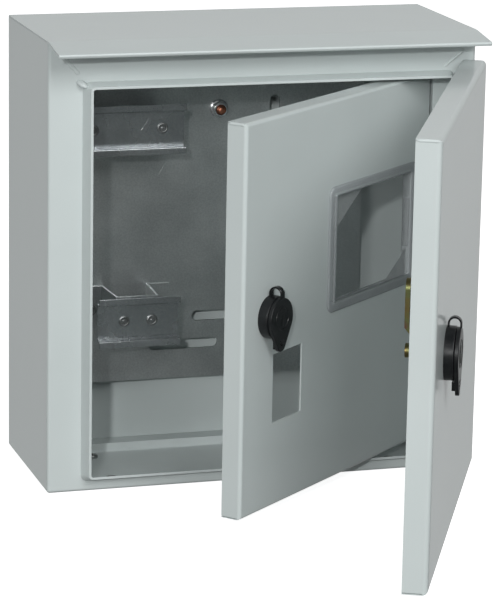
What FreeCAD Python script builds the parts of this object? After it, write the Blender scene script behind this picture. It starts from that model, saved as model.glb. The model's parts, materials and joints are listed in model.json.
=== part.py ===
import FreeCAD, Part

import math
import os

# Wall-mounted sub-panel enclosure with a solid outer door and a recessed inner door.
# Frame: origin at the centre of the back face. +X right, +Z up, the front faces -Y.
# Both doors are built closed and then swung open about their hinge axes.

Vector = FreeCAD.Vector
UP = Vector(0, 0, 1)
FRONT = Vector(0, -1, 0)

# ---- driving dimensions, mm ----
BOX_WIDTH = 300.0
BOX_HEIGHT = 310.0
RIM_DEPTH = 119.0            # back face to the front rim
SHEET = 1.2                  # body and outer door
INNER_SHEET = 1.0            # inner door
FOLD_RADIUS = 2.4            # outside radius of the body's folds

# Rain canopy: flat roof, slope beyond the rim, and a short lip folded down and back
CANOPY_DEPTH = 150.0         # back face to the canopy's front
CANOPY_SLOPE_DROP = 4.2
CANOPY_LIP_DROP = 6.9
CANOPY_LIP_SET_BACK = 1.5
CANOPY_NOSE_RADIUS = 1.15
CANOPY_FOLD_RADIUS = 18.0

# Drip lip round the opening: outline at the rim and outline of its free edge
LIP_HEIGHT = 10.0
LIP_BASE = (-127.0, 135.0, -148.0, 127.8)       # left, right, bottom, top
LIP_EDGE = (-123.2, 130.8, -144.2, 125.4)
LIP_WALL = 1.7               # sheet measured across the leaning lip
LIP_BASE_RADIUS, LIP_EDGE_RADIUS = 5.0, 3.2
LIP_THROAT_DEPTH = 30.0

# Strips welded into the box along the inner door: edge, front, end of the return, end of the wall tail
HINGE_STRIP = (127.4, -98.2, -74.0, -66.0)
KEEPER_STRIP = (-111.0, -83.8, -77.0, -60.0)
STRIP_END_GAP = 2.0

# Outer door
OUTER_OPEN = 63.9            # degrees, as stored
OUTER_AXIS = (143.9, -128.56)
OUTER_LEFT, OUTER_RIGHT = -146.4, 148.4
OUTER_BOTTOM, OUTER_TOP = -149.8, 134.8
OUTER_FACE = -138.05
OUTER_FLANGE = 16.3
OUTER_BEND = 3.4
DOOR_CORNER_SLIT = 0.5
DOOR_SLIT_OVERRUN = 0.3
OUTER_LOCK = (-81.4, -12.0)
OUTER_CAP = (17.2, 6.5)      # ring radius and height

# Inner door
INNER_OPEN = 41.04
INNER_AXIS = (121.93, -95.0)
INNER_LEFT, INNER_RIGHT = -114.97, 124.03
INNER_BOTTOM, INNER_TOP = -139.2, 121.5
INNER_FACE = -99.4
INNER_FLANGE = 14.4
INNER_BEND = 2.6
INNER_LOCK = (-84.0, -9.0)
INNER_CAP = (14.1, 7.2)

# Window and device cut-out of the inner door
WINDOW_CENTRE = (47.7, 20.4)
WINDOW_SIZE = (117.6, 82.2)
WINDOW_CUTOUT = (105.0, 73.0)
DEVICE_CENTRE = (-60.0, -58.95)
DEVICE_CUTOUT = (36.0, 46.5)
WINDOW_RIM, WINDOW_BEAD, WINDOW_BEAD_HEIGHT = 1.6, 2.0, 0.6
WINDOW_BODY_DEPTH, WINDOW_WALL = 6.0, 1.5
WINDOW_PANE_FRONT, WINDOW_PANE_BACK = 0.2, 2.0
WINDOW_FIT = 0.2             # gap between window body and cut-out
WINDOW_CLIP_LENGTH, WINDOW_CLIP_PROUD = 40.0, 1.6

# Mounting plate
PLATE_BACK, PLATE_FRONT = -14.5, -16.0
PLATE_LEFT, PLATE_RIGHT = -110.0, 105.4
PLATE_BOTTOM, PLATE_TOP = -107.5, 108.0
PLATE_CORNER = 3.0
STUDS = ((-2.4, 87.0), (-101.0, -96.0), (95.0, -96.0))
STUD_RADIUS, STUD_REACH, STUD_CHAMFER = 3.0, 9.0, 0.6
STUD_CLEARANCE, NUT_CLEARANCE = 0.3, 0.1
SPACER_RADIUS = 5.0
PLATE_NUT_FLANGE, PLATE_NUT_FLANGE_HEIGHT = 6.8, 1.3
PLATE_NUT_FLATS, PLATE_NUT_HEIGHT = 10.0, 6.0
SLOT_WIDTH = 7.4
UPRIGHT_SLOT = (39.0, 30.0, 95.5)               # x, lower end, upper end
LEVEL_SLOTS = ((-20.1, 31.9, -62.6), (46.1, 98.1, -62.6), (-52.0, -1.0, -82.8))     # left, right, height

# Rails, 35 x 7.5 top-hat section
RAIL_HEIGHT, RAIL_MOUTH, RAIL_DEPTH, RAIL_WALL = 35.0, 27.0, 7.5, 1.0
RAIL_BEND = 0.9
CROWN_FRONT = -52.0
BRACKET_SHEET = 1.5
BRACKET_FOOT = 15.0
BRACKET_SPLAY = 1.8
UPPER_RAIL = (-118.0, -38.0, 81.8)              # left, right, mid height
LOWER_RAIL = (-99.0, -40.4, -54.2)
UPPER_CROWN = (-109.0, -47.0, 66.0, 88.5)       # left, right, lower end, upper end
LOWER_CROWN = (-85.2, -54.4, -71.5, -36.9)
UPPER_RIVETS = (-102.7, -53.5)
LOWER_RIVETS = (-79.6, -59.6)
RIVET_RADIUS, RIVET_HEIGHT, RIVET_DOME = 3.6, 1.6, 6.0
MANDREL_RADIUS, MANDREL_DEPTH = 1.0, 0.8

# Wall fixing and cable entries
WALL_HOLES = (240.0, 250.0)                     # spacing across and up
WALL_HOLE_RADIUS = 4.25
GLAND_PLATE = (-120.0, 120.0, -112.0, -39.0)    # left, right, front, upturned rear edge
GLAND_UPSTAND, GLAND_BEND = 7.5, 1.5
GLAND_SCREWS = ((-101.0, -50.0), (101.0, -50.0), (-101.0, -104.0), (101.0, -104.0))
GLAND_SCREW_RADIUS, GLAND_SCREW_HEAD, GLAND_SCREW_HEIGHT = 2.0, 3.8, 2.2
GLAND_SCREW_EDGE = 0.9
CROSS_RECESS = (0.4, 2.2, 1.0)                  # half width, half length, depth
GROMMETS = {"left": 36.0, "right": 78.0}
GROMMET_Y = -66.0
GROMMET_RADIUS = 14.5
GROMMET_FLANGE = 2.2
GROMMET_CONE_TIP, GROMMET_CONE_HEIGHT = 6.0, 7.6

# Hinges
HINGE_HEIGHTS = {"bottom": -100.0, "top": 88.0}
OUTER_KNUCKLE, OUTER_PIN = 3.5, 2.0
OUTER_LEAF = (136.6, 146.6, 1.6)                # left, right, sheet
OUTER_TAB = 10.0
INNER_KNUCKLE, INNER_PIN = 2.6, 1.5
INNER_LEAF = 2.0                                # sheet
INNER_LEAF_REACH, INNER_LEAF_TAIL = 12.0, 18.0
INNER_LEAF_WELD = 1.6
INNER_TAB, INNER_TAB_SHEET = 12.0, 1.4
INNER_WEB = (-1.2, 0.6)                         # left and right of the pin, joins tab and knuckle
PIN_SHORT = 1.0
KNUCKLE_LENGTH = 28.0
KNUCKLE_GAP = 0.4
RUNNING_CLEARANCE = 0.05
NOTCH_MARGIN, NOTCH_WIDTH = 1.6, 3.2

# Quarter-turn lock, measured along its axis from the door's face, inwards
LOCK_HEAD_RADIUS, LOCK_HEAD_HEIGHT = 10.5, 2.0
LOCK_BARREL_RADIUS, LOCK_BARREL_DEPTH = 9.0, 18.5
CORE_RADIUS, CORE_CLEARANCE, CORE_PROUD = 6.0, 0.06, 1.6
KEYWAY_WIDTH, KEYWAY_HEIGHT, KEYWAY_DEPTH = 1.8, 8.4, 6.0
SPIGOT, SPIGOT_FIT = 6.0, 0.05
CAM_HUB_DEPTH, CAM_TIP_DEPTH, CAM_SHEET = 18.7, 22.8, 3.0
CAM_WIDTH, CAM_REACH, CAM_HEEL = 13.0, 46.5, 8.0
CAM_CRANK_START, CAM_CRANK_END = 12.0, 17.0
NUT_RADIUS, NUT_HEIGHT = 13.4, 4.0
WASHER_RADIUS, WASHER_SHEET = 5.6, 0.8
SCREW_HEAD_RADIUS, SCREW_HEAD_HEIGHT = 4.6, 3.0
SCREW_SLOT_WIDTH, SCREW_SLOT_DEPTH = 1.2, 1.2

# Dust cap, measured along the lock's axis from the door's face, outwards
CAP_BORE, CAP_EDGE = 11.4, 0.8
LID_GAP, LID_SHEET, LID_EDGE = 0.4, 2.5, 0.7
LID_INSET = 0.6              # lid radius is this much under the ring's
LID_TAIL = 0.616             # tail length as a share of the ring's radius
LID_TAIL_RADIUS = 5.0
LID_PLUG_RADIUS, LID_PLUG_TOP = 9.4, 3.6
LID_HEEL = (6.8, 5.6, 2.3)   # width, length, thickness of the grip under the tail
SEAL_HOLE_RADIUS, SEAL_HOLE_RISE = 1.3, 5.6
STRAP_SHEET, STRAP_WIDTH, STRAP_RISE = 1.2, 4.4, 6.6
STRAP_INNER_LEG, STRAP_OVERHANG = 0.7, 0.3

solids = {}


# ---- small building blocks ----
def box(x0, x1, y0, y1, z0, z1):
    low = Vector(min(x0, x1), min(y0, y1), min(z0, z1))
    return Part.makeBox(abs(x1 - x0), abs(y1 - y0), abs(z1 - z0), low)


def rod(x, z, radius, y0, y1):
    """Round bar along Y between two depths."""
    return Part.makeCylinder(radius, abs(y1 - y0), Vector(x, max(y0, y1), z), FRONT)


def post(x, y, radius, z0, z1):
    """Round bar along Z."""
    return Part.makeCylinder(radius, z1 - z0, Vector(x, y, z0), UP)


def prism(points, along):
    """Extrude a closed polygon given as vectors."""
    return Part.Face(Part.makePolygon(points + [points[0]])).extrude(along)


def prism_across(profile, x0, x1):
    """Extrude a (y, z) outline along X."""
    return prism([Vector(x0, y, z) for y, z in profile], Vector(x1 - x0, 0, 0))


def prism_up(profile, z0, z1):
    """Extrude an (x, y) outline along Z."""
    return prism([Vector(x, y, z0) for x, y in profile], Vector(0, 0, z1 - z0))


def fuse(first, *others):
    return first.multiFuse(list(others)).removeSplitter()


def rounded_rectangle(left, right, bottom, top, y, radius):
    """Closed wire in the plane of one depth."""
    corners = ((right - radius, top - radius, 0), (left + radius, top - radius, 90),
               (left + radius, bottom + radius, 180), (right - radius, bottom + radius, 270))
    edges = []
    last = first = None
    for x, z, start in corners:
        on_arc = []
        for degrees in (start, start + 45, start + 90):
            angle = math.radians(degrees)
            on_arc.append(Vector(x + radius * math.cos(angle), y, z + radius * math.sin(angle)))
        if last:
            edges.append(Part.LineSegment(last, on_arc[0]).toShape())
        first = first or on_arc[0]
        edges.append(Part.Arc(*on_arc).toShape())
        last = on_arc[2]
    edges.append(Part.LineSegment(last, first).toShape())
    return Part.Wire(edges)


def rounded_plate(left, right, bottom, top, y0, y1, radius):
    wire = rounded_rectangle(left, right, bottom, top, y0, radius)
    return Part.Face(wire).extrude(Vector(0, y1 - y0, 0))


def level_slot(x0, x1, z, y0, y1):
    half = SLOT_WIDTH / 2
    return rounded_plate(x0, x1, z - half, z + half, y0, y1, half - 0.01)


def grown(outline, by):
    left, right, bottom, top = outline
    return (left - by, right + by, bottom - by, top + by)


def fillet_where(shape, radius, test):
    edges = [edge for edge in shape.Edges if test(edge)]
    return shape.makeFillet(radius, edges)


def swing(shape, axis, degrees):
    turned = shape.copy()
    turned.rotate(Vector(axis[0], axis[1], 0), UP, degrees)
    return turned


# ---- box body ----
def body_wrap():
    half = BOX_WIDTH / 2
    floor = -BOX_HEIGHT / 2
    roof = BOX_HEIGHT / 2 - SHEET

    def folded(edge):
        middle = edge.CenterOfMass
        at_side = abs(abs(middle.x) - half) < 0.1
        at_end = abs(middle.z - floor) < 0.1
        at_front = abs(middle.y + RIM_DEPTH) < 0.1
        return (at_side and at_end) or (at_front and (at_side or at_end))

    shell = fillet_where(box(-half, half, -RIM_DEPTH, 0, floor, roof), FOLD_RADIUS, folded)
    cavity = box(-half + SHEET, half - SHEET, -RIM_DEPTH + SHEET, 1, floor + SHEET, roof - SHEET)
    shell = shell.cut(cavity)

    def lip_block(inset, y_base, y_edge):
        base = rounded_rectangle(*grown(LIP_BASE, -inset), y_base, LIP_BASE_RADIUS - inset)
        edge = rounded_rectangle(*grown(LIP_EDGE, -inset), y_edge, LIP_EDGE_RADIUS - inset)
        return Part.makeLoft([base, edge], True, True)

    rim_back = -RIM_DEPTH + SHEET
    lip = lip_block(0, rim_back, -RIM_DEPTH - LIP_HEIGHT)
    throat = lip_block(LIP_WALL, rim_back, -RIM_DEPTH - LIP_HEIGHT)
    left, right, bottom, top = grown(LIP_BASE, -LIP_WALL)
    mouth = box(left, right, rim_back, -RIM_DEPTH + LIP_THROAT_DEPTH, bottom, top)
    return shell.fuse(lip).cut(throat.fuse(mouth)).removeSplitter()


def back_panel():
    half = BOX_WIDTH / 2 - SHEET
    panel = box(-half, half, -SHEET, 0, -BOX_HEIGHT / 2 + SHEET, BOX_HEIGHT / 2 - 2 * SHEET)
    for side in (-1, 1):
        for level in (-1, 1):
            x, z = side * WALL_HOLES[0] / 2, level * WALL_HOLES[1] / 2
            panel = panel.cut(rod(x, z, WALL_HOLE_RADIUS, 1, -SHEET - 1))
    return panel


def top_canopy():
    top = BOX_HEIGHT / 2
    nose = (-CANOPY_DEPTH, top - CANOPY_SLOPE_DROP)
    foot = (-CANOPY_DEPTH + CANOPY_LIP_SET_BACK, top - CANOPY_LIP_DROP)
    outline = [(0, top), (-RIM_DEPTH, top), nose, foot, (foot[0] + SHEET, foot[1] + 0.5 * SHEET),
               (nose[0] + 1.4 * SHEET, nose[1] - SHEET), (-RIM_DEPTH, top - SHEET), (0, top - SHEET)]
    sheet = prism_across(outline, -BOX_WIDTH / 2, BOX_WIDTH / 2)

    def is_nose(edge):
        middle = edge.CenterOfMass
        return abs(middle.y - nose[0]) < 0.1 and abs(middle.z - nose[1]) < 0.1

    def is_fold(edge):
        middle = edge.CenterOfMass
        return abs(middle.y + RIM_DEPTH) < 0.1 and abs(middle.z - top) < 0.1

    return fillet_where(fillet_where(sheet, CANOPY_NOSE_RADIUS, is_nose), CANOPY_FOLD_RADIUS, is_fold)


def folded_strip(dimensions, wall, side):
    """Z-shaped strip on one side wall. Side is +1 on the right wall and -1 on the left."""
    edge, front, back, tail = dimensions
    t = side * SHEET
    outline = [(wall, front), (edge, front), (edge, back), (edge + t, back), (edge + t, front + SHEET),
               (wall - t, front + SHEET), (wall - t, tail), (wall, tail)]
    bottom = -BOX_HEIGHT / 2 + SHEET + STRIP_END_GAP
    top = BOX_HEIGHT / 2 - 2 * SHEET - STRIP_END_GAP
    return prism_up(outline, bottom, top)


def gland_plate():
    """Plate on the floor round the cable entries, with its rear edge turned up."""
    left, right, front, rear = GLAND_PLATE
    under = -BOX_HEIGHT / 2 + SHEET
    plate = box(left, right, front, rear + SHEET, under, under + SHEET)
    upstand = box(left, right, rear, rear + SHEET, under, under + GLAND_UPSTAND)
    plate = fuse(plate, upstand)

    def bend(edge):
        middle = edge.CenterOfMass
        return abs(middle.y - rear) < 0.01 and abs(middle.z - under - SHEET) < 0.01

    plate = fillet_where(plate, GLAND_BEND, bend)
    for x, y in GLAND_SCREWS:
        plate = plate.cut(post(x, y, GLAND_SCREW_RADIUS, under - 1, under + 3))
    for x in GROMMETS.values():
        plate = plate.cut(post(x, GROMMET_Y, GROMMET_RADIUS, under - 1, under + 3))
    return plate


def gland_screws():
    """Pan-head screws through the plate and the floor, with crossed slots."""
    screws = []
    seat = -BOX_HEIGHT / 2 + 2 * SHEET
    head_top = seat + GLAND_SCREW_HEIGHT
    narrow, long, depth = CROSS_RECESS
    for x, y in GLAND_SCREWS:
        screw = fuse(post(x, y, GLAND_SCREW_RADIUS, -BOX_HEIGHT / 2, seat),
                     post(x, y, GLAND_SCREW_HEAD, seat, head_top))
        screw = fillet_where(screw, GLAND_SCREW_EDGE, lambda edge: edge.CenterOfMass.z > head_top - 0.01)
        for half_x, half_y in ((narrow, long), (long, narrow)):
            slot = box(x - half_x, x + half_x, y - half_y, y + half_y, head_top - depth, head_top + 1)
            screw = screw.cut(slot)
        screws.append(screw)
    return Part.makeCompound(screws)


def mounting_plate():
    plate = rounded_plate(PLATE_LEFT, PLATE_RIGHT, PLATE_BOTTOM, PLATE_TOP, PLATE_BACK, PLATE_FRONT,
                          PLATE_CORNER)
    y0, y1 = PLATE_BACK + 1, PLATE_FRONT - 1
    x, low, high = UPRIGHT_SLOT
    half = SLOT_WIDTH / 2
    plate = plate.cut(rounded_plate(x - half, x + half, low, high, y0, y1, half - 0.01))
    for x0, x1, z in LEVEL_SLOTS:
        plate = plate.cut(level_slot(x0, x1, z, y0, y1))
    for x, z in STUDS:
        plate = plate.cut(rod(x, z, STUD_RADIUS + STUD_CLEARANCE, y0, y1))
    return plate


def hexagon(x, z, across_flats, y0, y1):
    radius = across_flats / math.sqrt(3)
    corners = []
    for side in range(6):
        angle = math.radians(60 * side + 30)
        corners.append(Vector(x + radius * math.cos(angle), y0, z + radius * math.sin(angle)))
    return prism(corners, Vector(0, y1 - y0, 0))


def plate_fixings():
    """Weld studs, spacer sleeves behind the plate and flange nuts in front of it."""
    studs, spacers, nuts = [], [], []
    stud_end = PLATE_FRONT - STUD_REACH
    nut_flange_end = PLATE_FRONT - PLATE_NUT_FLANGE_HEIGHT
    nut_end = PLATE_FRONT - PLATE_NUT_HEIGHT
    for x, z in STUDS:
        stud = rod(x, z, STUD_RADIUS, -SHEET, stud_end)
        end_edges = [edge for edge in stud.Edges if abs(edge.CenterOfMass.y - stud_end) < 0.01]
        studs.append(stud.makeChamfer(STUD_CHAMFER, end_edges))
        bore = rod(x, z, STUD_RADIUS + NUT_CLEARANCE, 1, stud_end - 1)
        spacers.append(rod(x, z, SPACER_RADIUS, -SHEET, PLATE_BACK).cut(bore))
        flange = rod(x, z, PLATE_NUT_FLANGE, PLATE_FRONT, nut_flange_end)
        nut = fuse(flange, hexagon(x, z, PLATE_NUT_FLATS, nut_flange_end, nut_end))
        nuts.append(nut.cut(bore))
    return Part.makeCompound(studs), Part.makeCompound(spacers), Part.makeCompound(nuts)


def top_hat(rail, crown_front):
    """35 mm rail: web against the bracket's crown, lips towards the front."""
    left, right, middle = rail
    web = crown_front - RAIL_WALL
    lips = crown_front - RAIL_DEPTH
    mouth = RAIL_MOUTH / 2
    upper = [(crown_front, mouth), (lips + RAIL_WALL, mouth), (lips + RAIL_WALL, RAIL_HEIGHT / 2),
             (lips, RAIL_HEIGHT / 2), (lips, mouth - RAIL_WALL), (web, mouth - RAIL_WALL)]
    lower = [(y, -z) for y, z in reversed(upper)]
    outline = [(y, z + middle) for y, z in upper + lower]
    rail_solid = prism_across(outline, left, right)

    def bend(edge):
        point = edge.CenterOfMass
        height = abs(point.z - middle)
        outer_bend = abs(point.y - crown_front) < 0.01 and abs(height - mouth) < 0.01
        lip_bend = abs(point.y - lips) < 0.01 and abs(height - mouth + RAIL_WALL) < 0.01
        return (outer_bend or lip_bend) and edge.Length > right - left - 1

    return fillet_where(rail_solid, RAIL_BEND, bend)


def hat_bracket(crown):
    """Hat-shaped strip with two feet on the plate and its crown behind the rail."""
    left, right, bottom, top = crown
    base_left, base_right = left - BRACKET_SPLAY, right + BRACKET_SPLAY
    foot_left, foot_right = base_left - BRACKET_FOOT, base_right + BRACKET_FOOT
    t = BRACKET_SHEET
    seat = PLATE_FRONT
    outline = [(foot_left, seat), (base_left + t, seat), (left + t, CROWN_FRONT + t),
               (right - t, CROWN_FRONT + t), (base_right - t, seat), (foot_right, seat),
               (foot_right, seat - t), (base_right, seat - t), (right, CROWN_FRONT),
               (left, CROWN_FRONT), (base_left, seat - t), (foot_left, seat - t)]
    return prism_up(outline, bottom, top)


def blind_rivet(x, z, face):
    """Domed head with its mandrel hole, seated on a face."""
    dome = Part.makeSphere(RIVET_DOME, Vector(x, face + RIVET_DOME - RIVET_HEIGHT, z))
    head = dome.common(rod(x, z, RIVET_RADIUS, face, face - RIVET_DOME))
    return head.cut(rod(x, z, MANDREL_RADIUS, face - MANDREL_DEPTH, face - RIVET_DOME))


def rail_rivets(places, middle):
    return Part.makeCompound([blind_rivet(x, middle, CROWN_FRONT - RAIL_WALL) for x in places])


def bracket_rivets():
    heads = []
    for left, right, bottom, top in (UPPER_CROWN, LOWER_CROWN):
        reach = BRACKET_SPLAY + BRACKET_FOOT / 2
        for x in (left - reach, right + reach):
            heads.append(blind_rivet(x, (bottom + top) / 2, PLATE_FRONT - BRACKET_SHEET))
    return Part.makeCompound(heads)


def grommet(x):
    """Closed rubber membrane entry clipped into the gland plate."""
    outside = -BOX_HEIGHT / 2
    seat = outside + 2 * SHEET
    stem = post(x, GROMMET_Y, GROMMET_RADIUS, outside, seat + 1.0)
    flange_out = post(x, GROMMET_Y, GROMMET_RADIUS + GROMMET_FLANGE, outside, outside + SHEET)
    flange_in = post(x, GROMMET_Y, GROMMET_RADIUS + GROMMET_FLANGE, seat, seat + 2.0)
    cone_foot = Vector(x, GROMMET_Y, seat + 1.0)
    cone = Part.makeCone(GROMMET_RADIUS - 1.5, GROMMET_CONE_TIP, GROMMET_CONE_HEIGHT, cone_foot, UP)
    return fuse(stem, flange_out, flange_in, cone)


def with_floor_holes(wrap):
    """Clearance holes for the grommets and tapped holes for the gland plate's screws."""
    floor = -BOX_HEIGHT / 2
    for x in GROMMETS.values():
        wrap = wrap.cut(post(x, GROMMET_Y, GROMMET_RADIUS + GROMMET_FLANGE, floor - 1, floor + SHEET + 1))
    for x, y in GLAND_SCREWS:
        wrap = wrap.cut(post(x, y, GLAND_SCREW_RADIUS, floor - 1, floor + SHEET + 1))
    return wrap


def add_box_body():
    wall = BOX_WIDTH / 2 - SHEET
    solids["body_wrap"] = with_floor_holes(body_wrap())
    solids["back_panel"] = back_panel()
    solids["top_canopy"] = top_canopy()
    solids["hinge_strip"] = folded_strip(HINGE_STRIP, wall, 1)
    solids["keeper_strip"] = folded_strip(KEEPER_STRIP, -wall, -1)
    solids["gland_plate"] = gland_plate()
    solids["gland_screws"] = gland_screws()
    for name, x in GROMMETS.items():
        solids["cable_grommet_" + name] = grommet(x)
    solids["mounting_plate"] = mounting_plate()
    solids["plate_studs"], solids["plate_spacers"], solids["plate_nuts"] = plate_fixings()
    solids["rail_upper"] = top_hat(UPPER_RAIL, CROWN_FRONT)
    solids["rail_lower"] = top_hat(LOWER_RAIL, CROWN_FRONT)
    solids["rail_bracket_upper"] = hat_bracket(UPPER_CROWN)
    solids["rail_bracket_lower"] = hat_bracket(LOWER_CROWN)
    solids["rail_rivets_upper"] = rail_rivets(UPPER_RIVETS, UPPER_RAIL[2])
    solids["rail_rivets_lower"] = rail_rivets(LOWER_RIVETS, LOWER_RAIL[2])
    solids["bracket_rivets"] = bracket_rivets()


# ---- doors ----
def door_pan(outline, face, depth, sheet, bend):
    """Folded pan: a face with four flanges turned back and open corners."""
    left, right, bottom, top = outline
    outside = box(left, right, face, face + depth, bottom, top)
    outside = fillet_where(outside, bend, lambda edge: abs(edge.CenterOfMass.y - face) < 0.01)
    inner_face = face + sheet
    inside = box(left + sheet, right - sheet, inner_face, face + depth + 1, bottom + sheet, top - sheet)
    inside = fillet_where(inside, bend - sheet, lambda edge: abs(edge.CenterOfMass.y - inner_face) < 0.01)
    pan = outside.cut(inside)
    for x, across in ((left, 1), (right, -1)):
        for z, down in ((bottom, 1), (top, -1)):
            slit_end = x + across * (sheet + DOOR_SLIT_OVERRUN)
            z_edge = z + down * sheet
            pan = pan.cut(box(x - across, slit_end, face + bend, face + depth + 1, z_edge,
                              z_edge - down * DOOR_CORNER_SLIT))
    return pan


def notch_flange(pan, right, y0, y1):
    """Openings in the hinge-side flange for the knuckles."""
    half = KNUCKLE_LENGTH / 2 + NOTCH_MARGIN
    for height in HINGE_HEIGHTS.values():
        pan = pan.cut(box(right - NOTCH_WIDTH, right + 1, y0, y1 + 1, height - half, height + half))
    return pan


def lock_hole(centre, face):
    return rod(*centre, LOCK_BARREL_RADIUS, face - 5, face + 5)


def centred_plate(centre, size, y0, y1, radius):
    x, z = centre
    wide, tall = size
    return rounded_plate(x - wide / 2, x + wide / 2, z - tall / 2, z + tall / 2, y0, y1, radius)


def outer_door_panel():
    outline = (OUTER_LEFT, OUTER_RIGHT, OUTER_BOTTOM, OUTER_TOP)
    pan = door_pan(outline, OUTER_FACE, OUTER_FLANGE, SHEET, OUTER_BEND)
    pan = notch_flange(pan, OUTER_RIGHT, OUTER_FACE + 4.0, OUTER_FACE + OUTER_FLANGE)
    return pan.cut(lock_hole(OUTER_LOCK, OUTER_FACE))


def inner_door_panel():
    outline = (INNER_LEFT, INNER_RIGHT, INNER_BOTTOM, INNER_TOP)
    pan = door_pan(outline, INNER_FACE, INNER_FLANGE, INNER_SHEET, INNER_BEND)
    pan = notch_flange(pan, INNER_RIGHT, INNER_FACE + INNER_SHEET + 0.4, INNER_FACE + INNER_FLANGE)
    pan = pan.cut(lock_hole(INNER_LOCK, INNER_FACE))
    y0, y1 = INNER_FACE - 2, INNER_FACE + 4
    pan = pan.cut(centred_plate(WINDOW_CENTRE, WINDOW_CUTOUT, y0, y1, 2.0))
    return pan.cut(centred_plate(DEVICE_CENTRE, DEVICE_CUTOUT, y0, y1, 0.3))


def gasket():
    """Foam ring inside the outer door, facing the lip's free edge."""
    front = OUTER_FACE + SHEET
    back = -RIM_DEPTH - LIP_HEIGHT - 0.25
    outer = rounded_plate(*grown(LIP_EDGE, 2.2), front, back, 6.5)
    inner = rounded_plate(*grown(LIP_EDGE, -6.0), front - 1, back + 1, 4.0)
    return outer.cut(inner)


def window():
    """Clear snap-in window: outer rim, raised bead, side walls and a set-back pane."""
    wide, tall = WINDOW_CUTOUT

    def plate(margin, front, back, radius):
        """Rounded plate this much larger than the cut-out, between two depths from the door's face."""
        size = (wide + margin, tall + margin)
        return centred_plate(WINDOW_CENTRE, size, INNER_FACE + front, INNER_FACE + back, radius)

    rim_margin = WINDOW_SIZE[0] - wide
    bead_top = -WINDOW_RIM - WINDOW_BEAD_HEIGHT
    hollow_margin = -2 * (WINDOW_FIT + WINDOW_WALL)
    rim = plate(rim_margin, 0, -WINDOW_RIM, 6.0)
    rim = fillet_where(rim, 0.9, lambda edge: abs(edge.CenterOfMass.y - INNER_FACE + WINDOW_RIM) < 0.01)
    bead = plate(WINDOW_BEAD, -WINDOW_RIM, bead_top, 3.0)
    body = plate(-2 * WINDOW_FIT, 0, WINDOW_BODY_DEPTH, 1.8)
    recess = plate(hollow_margin, bead_top - 1, WINDOW_PANE_FRONT, 1.2)
    hollow = plate(hollow_margin, WINDOW_PANE_BACK, WINDOW_BODY_DEPTH + 1, 1.2)
    frame = fuse(rim, bead, body).cut(recess).cut(hollow)
    x, z = WINDOW_CENTRE
    behind = INNER_FACE + INNER_SHEET + 0.2
    for side in (-1, 1):
        wall = x + side * (wide / 2 - WINDOW_FIT)
        ramp = [(wall - side * 0.5, behind), (wall + side * WINDOW_CLIP_PROUD, behind),
                (wall - side * 0.5, INNER_FACE + WINDOW_BODY_DEPTH - 0.5)]
        frame = frame.fuse(prism_up(ramp, z - WINDOW_CLIP_LENGTH / 2, z + WINDOW_CLIP_LENGTH / 2))
    return frame.removeSplitter()


# ---- hinges ----
def drilled(shape, axis, radius, z0, z1):
    return shape.cut(post(*axis, radius, z0 - 1, z1 + 1))


def knuckle_span(height):
    """Lower end, top of the lower knuckle, foot of the upper knuckle and upper end."""
    half = KNUCKLE_LENGTH / 2
    return height - half, height - KNUCKLE_GAP / 2, height + KNUCKLE_GAP / 2, height + half


def outer_hinge(height):
    """Leaf and lower knuckle on the rim, pin, and upper knuckle welded to the door."""
    x, y = OUTER_AXIS
    bottom, split, lift, top = knuckle_span(height)
    left, right, sheet = OUTER_LEAF
    rim = -RIM_DEPTH
    leaf = fuse(box(left, right, rim, rim - sheet, bottom, split),
                box(x - sheet, x + sheet, rim - sheet, y, bottom, split),
                post(x, y, OUTER_KNUCKLE, bottom, split))
    leaf = drilled(leaf, OUTER_AXIS, OUTER_PIN, bottom, split)
    pin = post(x, y, OUTER_PIN, bottom, top - PIN_SHORT)
    inside = OUTER_FACE + SHEET
    bush = fuse(box(x - OUTER_TAB, x + 0.8, inside, inside + sheet, lift, top),
                box(x - sheet, x + sheet, inside + 1.0, y, lift, top),
                post(x, y, OUTER_KNUCKLE, lift, top))
    bush = drilled(bush, OUTER_AXIS, OUTER_PIN + RUNNING_CLEARANCE, lift, top)
    return leaf, pin, swing(bush, OUTER_AXIS, OUTER_OPEN)


def inner_hinge(height):
    """Cranked leaf from the hinge strip, pin, and knuckle welded behind the inner door's face."""
    x, y = INNER_AXIS
    bottom, split, lift, top = knuckle_span(height)
    half = INNER_LEAF / 2
    strip = HINGE_STRIP[0]
    crank = y + INNER_LEAF_REACH - INNER_LEAF
    leaf = fuse(box(x - half, x + half, y, y + INNER_LEAF_REACH, bottom, split),
                box(x - half, strip, crank, y + INNER_LEAF_REACH, bottom, split),
                box(strip - INNER_LEAF_WELD, strip, crank, y + INNER_LEAF_TAIL, bottom, split),
                post(x, y, INNER_KNUCKLE, bottom, split))
    leaf = drilled(leaf, INNER_AXIS, INNER_PIN, bottom, split)
    pin = post(x, y, INNER_PIN, bottom, top - PIN_SHORT)
    inside = INNER_FACE + INNER_SHEET
    web_left, web_right = x + INNER_WEB[0], x + INNER_WEB[1]
    bush = fuse(box(x - INNER_TAB, x - 0.4, inside, inside + INNER_TAB_SHEET, lift, top),
                box(web_left, web_right, inside + 0.4, y, lift, top),
                post(x, y, INNER_KNUCKLE, lift, top))
    bush = drilled(bush, INNER_AXIS, INNER_PIN + RUNNING_CLEARANCE, lift, top)
    return leaf, pin, swing(bush, INNER_AXIS, INNER_OPEN)


# ---- lock and dust cap, on a closed door ----
def lock_body(x, z, face):
    housing = fuse(rod(x, z, LOCK_HEAD_RADIUS, face, face - LOCK_HEAD_HEIGHT),
                   rod(x, z, LOCK_BARREL_RADIUS, face, face + LOCK_BARREL_DEPTH))
    return housing.cut(rod(x, z, CORE_RADIUS + CORE_CLEARANCE, face - 5, face + LOCK_BARREL_DEPTH + 1))


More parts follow.
